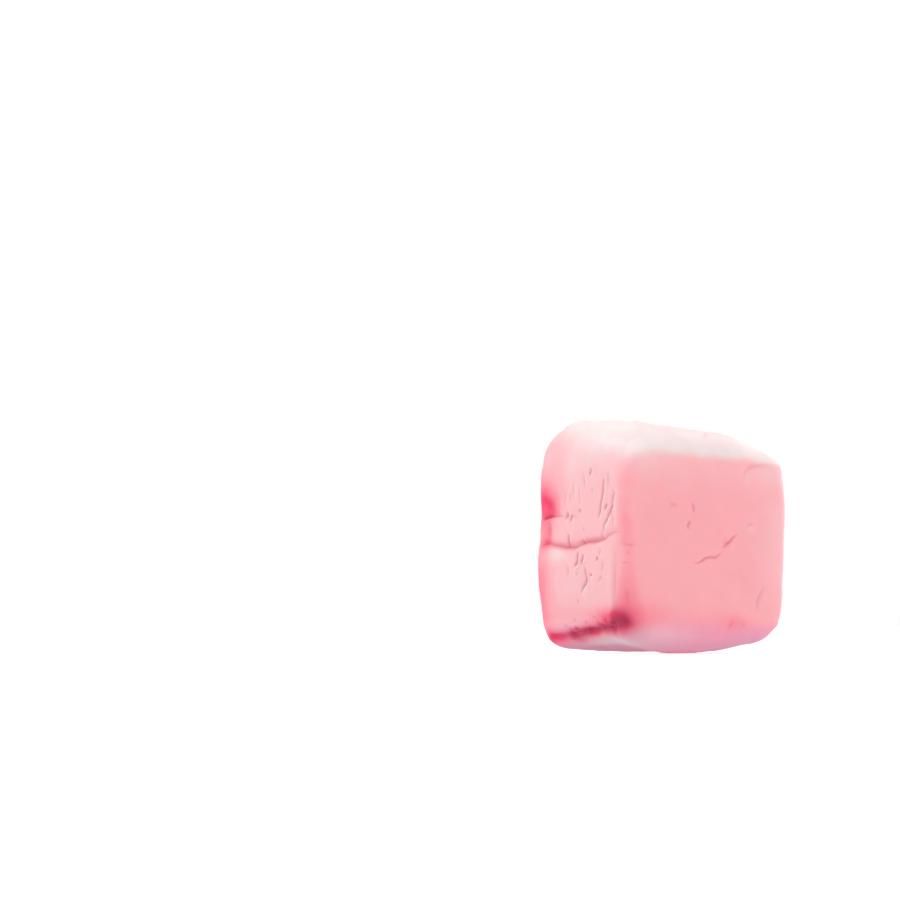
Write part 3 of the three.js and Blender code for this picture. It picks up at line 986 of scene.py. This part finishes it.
def make_chew_tree():
    tree, given, result = new_tree(
        "fruit_chew", {name: type(value) for name, value in SETTINGS.items()},
        {"Chew": bpy.types.Mesh})
    block, half = make_block(tree, given)
    place = tree.nodes.new("GeometryNodeInputPosition").outputs[0]
    share = vector("DIVIDE", place, half)
    lift = join(z=number("MULTIPLY", given["Height"], 0.5))
    on_block = vector("ADD", place, lift)
    outward = add(tree, "GeometryNodeInputNamedAttribute", {0: "outward"},
                  data_type="FLOAT_VECTOR").outputs[0]

    wrinkles = scatter_wrinkles(tree, move(block, "Offset", lift), outward,
                                given["Wrinkle Density"], given["Wrinkle Seed"])
    lines = press_lines(tree, given, on_block, wrinkles)
    soft, panels, lumps = soft_forms(given, place, share, on_block)
    height = lines["height"]
    for part in (soft, panels, lumps):
        height = number("ADD", height, part)
    raised = vector("MULTIPLY_ADD", outward, height, on_block)
    pull = blend_corners(share, [pull for _, pull in CORNERS])
    pulled = vector("ADD", raised, pull)
    settled = vector("SUBTRACT", pulled, join(z=given["Settle"]))
    standing = vector("MAXIMUM", settled, (-FAR_OUT, -FAR_OUT, 0))

    measures = finish_measures(
        given, place, on_block, outward, split(standing)["Z"], panels, lines)
    shaped = block
    for name, value in measures.items():
        shaped = store(shaped, name, value)
    shaped = move(shaped, "Position", standing)
    box = add(tree, "GeometryNodeBoundBox", {0: shaped}).outputs
    centre = vector("SCALE", vector("ADD", box["Min"], box["Max"]), scale=-0.5)
    centre = vector("MULTIPLY", centre, (1, 1, 0))
    sized = add(tree, "GeometryNodeTransform", {
        0: move(shaped, "Offset", centre), "Scale": (MILLIMETRE,) * 3}).outputs[0]
    smooth = add(tree, "GeometryNodeSetShadeSmooth", {0: sized}).outputs[0]
    whole = add(tree, "GeometryNodeRealizeInstances", {0: smooth}).outputs[0]
    dressed = add(tree, "GeometryNodeSetMaterial",
                  {0: whole, "Material": given["Material"]}).outputs[0]
    tree.links.new(dressed, result["Chew"])
    return tree


chew_tree = make_chew_tree()
print("chew tree:", len(chew_tree.nodes), "nodes")

# %% [markdown]
# ## From nodes to a plain mesh
# The tree runs as a modifier on an empty mesh. Its inputs are set by their identifiers
# before it is first evaluated. The result is copied out as a plain mesh, and the drawn
# lines are removed, because they were only guides.

# %% Evaluate the chew
def apply(modifier):
    """Makes what a modifier does to the chew permanent."""
    evaluated = chew.evaluated_get(bpy.context.evaluated_depsgraph_get())
    finished = bpy.data.meshes.new_from_object(evaluated)
    chew.modifiers.remove(modifier)
    chew.data = finished


def count_triangles(mesh):
    return sum(len(face.vertices) - 2 for face in mesh.polygons)


chew = put("chew_taffy", bpy.data.meshes.new("chew_taffy"))
shaping = chew.modifiers.new("shape", "NODES")
shaping.node_group = chew_tree
for socket in chew_tree.interface.items_tree:
    if socket.in_out == "INPUT":
        shaping[socket.identifier] = SETTINGS[socket.name]
apply(shaping)
for guide in guides.values():
    bpy.data.objects.remove(guide)
fine = count_triangles(chew.data)
print("full mesh:", len(chew.data.vertices), "points,", fine, "triangles")

# %% [markdown]
# ## Thinning the mesh
# Fifteen cells to a millimetre are needed in a crease but not on a flat. So the mesh is
# thinned, and only the points outside every crease and mark may go.

# %% Thin the mesh
MOST_TRIANGLES = 190_000
marked = [0.0] * len(chew.data.vertices)
chew.data.attributes["marked"].data.foreach_get("value", marked)
plain = chew.vertex_groups.new(name="plain")
plain.add([i for i, is_marked in enumerate(marked) if not is_marked], 1.0, "REPLACE")
thinning = chew.modifiers.new("thin", "DECIMATE")
thinning.ratio = MOST_TRIANGLES / fine
thinning.vertex_group = plain.name
apply(thinning)
chew.data.name = "chew_taffy"
chew.vertex_groups.clear()
print("points in creases and marks:", len(marked) - marked.count(0.0), "of", len(marked))
print("chew:", len(chew.data.vertices), "points,", count_triangles(chew.data),
      "triangles, mm:", [round(1000 * size, 2) for size in chew.dimensions])

# %% [markdown]
# ## Tie the chew to the model
# The chew moves with the model's one body, stands in for its one node and wears its finish.

# %% Tie the chew to the model
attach(chew, "root")
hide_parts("chew")
print(chew.name, "rides on root")

# %% [markdown]
# ## Floor and surroundings
# A plain pale board that glows a little, so that it comes out white, and an even surround.
# Both are brighter for the camera than for the chew, or they would wash its colours out.

# %% Floor and surround
FLOOR_SIDE = 40.0  # metres, so that its edge meets the surround far away
FLOOR_COLOUR, FLOOR_GLOW = (0.35, 0.35, 0.36, 1), (0.75, 0.75, 0.8, 1)
CAST_SHARE = 0.7  # share of the board's glow that falls on the chew
SURROUND_LIGHT, SURROUND_SEEN = 0.41, 1.0  # its strength for the chew and for the camera


def make_board():
    """A pale matt board with a glow of its own."""
    material = bpy.data.materials.new("floor_card")
    material.use_nodes = True
    tree = material.node_tree
    shader = tree.nodes["Principled BSDF"]
    for name, value in (("Base Color", FLOOR_COLOUR), ("Roughness", 1.0),
                        ("Specular IOR Level", 0.0), ("Emission Color", FLOOR_GLOW)):
        shader.inputs[name].default_value = value
    seen = tree.nodes.new("ShaderNodeLightPath").outputs["Is Camera Ray"]
    strength = number("MULTIPLY_ADD", seen, 1.0 - CAST_SHARE, CAST_SHARE)
    tree.links.new(strength, shader.inputs["Emission Strength"])
    return material


def make_surround():
    """White on all sides, weaker as a light than as a backdrop."""
    world = bpy.data.worlds.new("surround")
    world.use_nodes = True
    sky = world.node_tree
    sky.nodes.clear()
    light, backdrop = (
        add(sky, "ShaderNodeBackground", {"Color": (1, 1, 1, 1), "Strength": strength})
        for strength in (SURROUND_LIGHT, SURROUND_SEEN))
    direct = sky.nodes.new("ShaderNodeLightPath").outputs["Is Camera Ray"]
    either = add(sky, "ShaderNodeMixShader",
                 {0: direct, 1: light.outputs[0], 2: backdrop.outputs[0]})
    out = sky.nodes.new("ShaderNodeOutputWorld")
    sky.links.new(either.outputs[0], out.inputs[0])
    return world


floor_mesh = bpy.data.meshes.new("floor")
reach = FLOOR_SIDE / 2
floor_mesh.from_pydata(
    [(-reach, -reach, 0), (reach, -reach, 0), (reach, reach, 0), (-reach, reach, 0)],
    [], [(0, 1, 2, 3)])
floor_mesh.materials.append(make_board())
put("floor", floor_mesh)
bpy.context.scene.world = make_surround()
print("floor of", FLOOR_SIDE, "m and white surround ready")

# %% [markdown]
# ## Light
# One broad light from above makes the top nearly white, and a soft one from the left lights
# the creased end. One from the front keeps the smooth face pink, and one from the right
# reaches the hidden end and the back.

# %% Lights
SUNS = [  # name, where it shines from as seen by the chew, strength, spread in degrees
    ("top_light", (0, 0.3, 1), 1.5, 60),
    ("left_light", (-1, 0.3, 0.35), 1.45, 50),
    ("front_light", (0.2, -1, 0.3), 1.4, 60),
    ("right_light", (1, 0.3, 0.3), 1.5, 50),
]
for name, towards, strength, spread in SUNS:
    sun = bpy.data.lights.new(name, "SUN")
    sun.energy = strength
    sun.angle = math.radians(spread)
    lamp = put(name, sun)
    lamp.rotation_mode = "QUATERNION"
    lamp.rotation_quaternion = Vector(towards).to_track_quat("Z", "Y")
bpy.context.scene.view_settings.view_transform = "Standard"
print(len(SUNS), "lights ready")

# %% [markdown]
# ## Camera
# The photograph looks at the chew almost level, from the left of its smooth face.

# %% Camera
CAMERA_AZIMUTH = -32  # degrees round from the smooth face
CAMERA_DISTANCE, CAMERA_HEIGHT = 0.2, 0.002  # metres
CAMERA_LENS, CAMERA_SENSOR = 104.05, 36  # millimetres
CAMERA_AIM = Vector((-0.01439, 0.00767, 0.01561))
turn = math.radians(CAMERA_AZIMUTH)
camera_data = bpy.data.cameras.new("camera")
camera_data.sensor_width = CAMERA_SENSOR
camera_data.lens = CAMERA_LENS
camera_data.clip_start = 0.01
camera = put("camera", camera_data)
camera.location = (math.sin(turn) * CAMERA_DISTANCE, -math.cos(turn) * CAMERA_DISTANCE,
                   CAMERA_HEIGHT)
camera.rotation_mode = "QUATERNION"
camera.rotation_quaternion = (CAMERA_AIM - camera.location).to_track_quat("-Z", "Y")
bpy.context.scene.camera = camera
print("camera at", [round(value, 3) for value in camera.location])
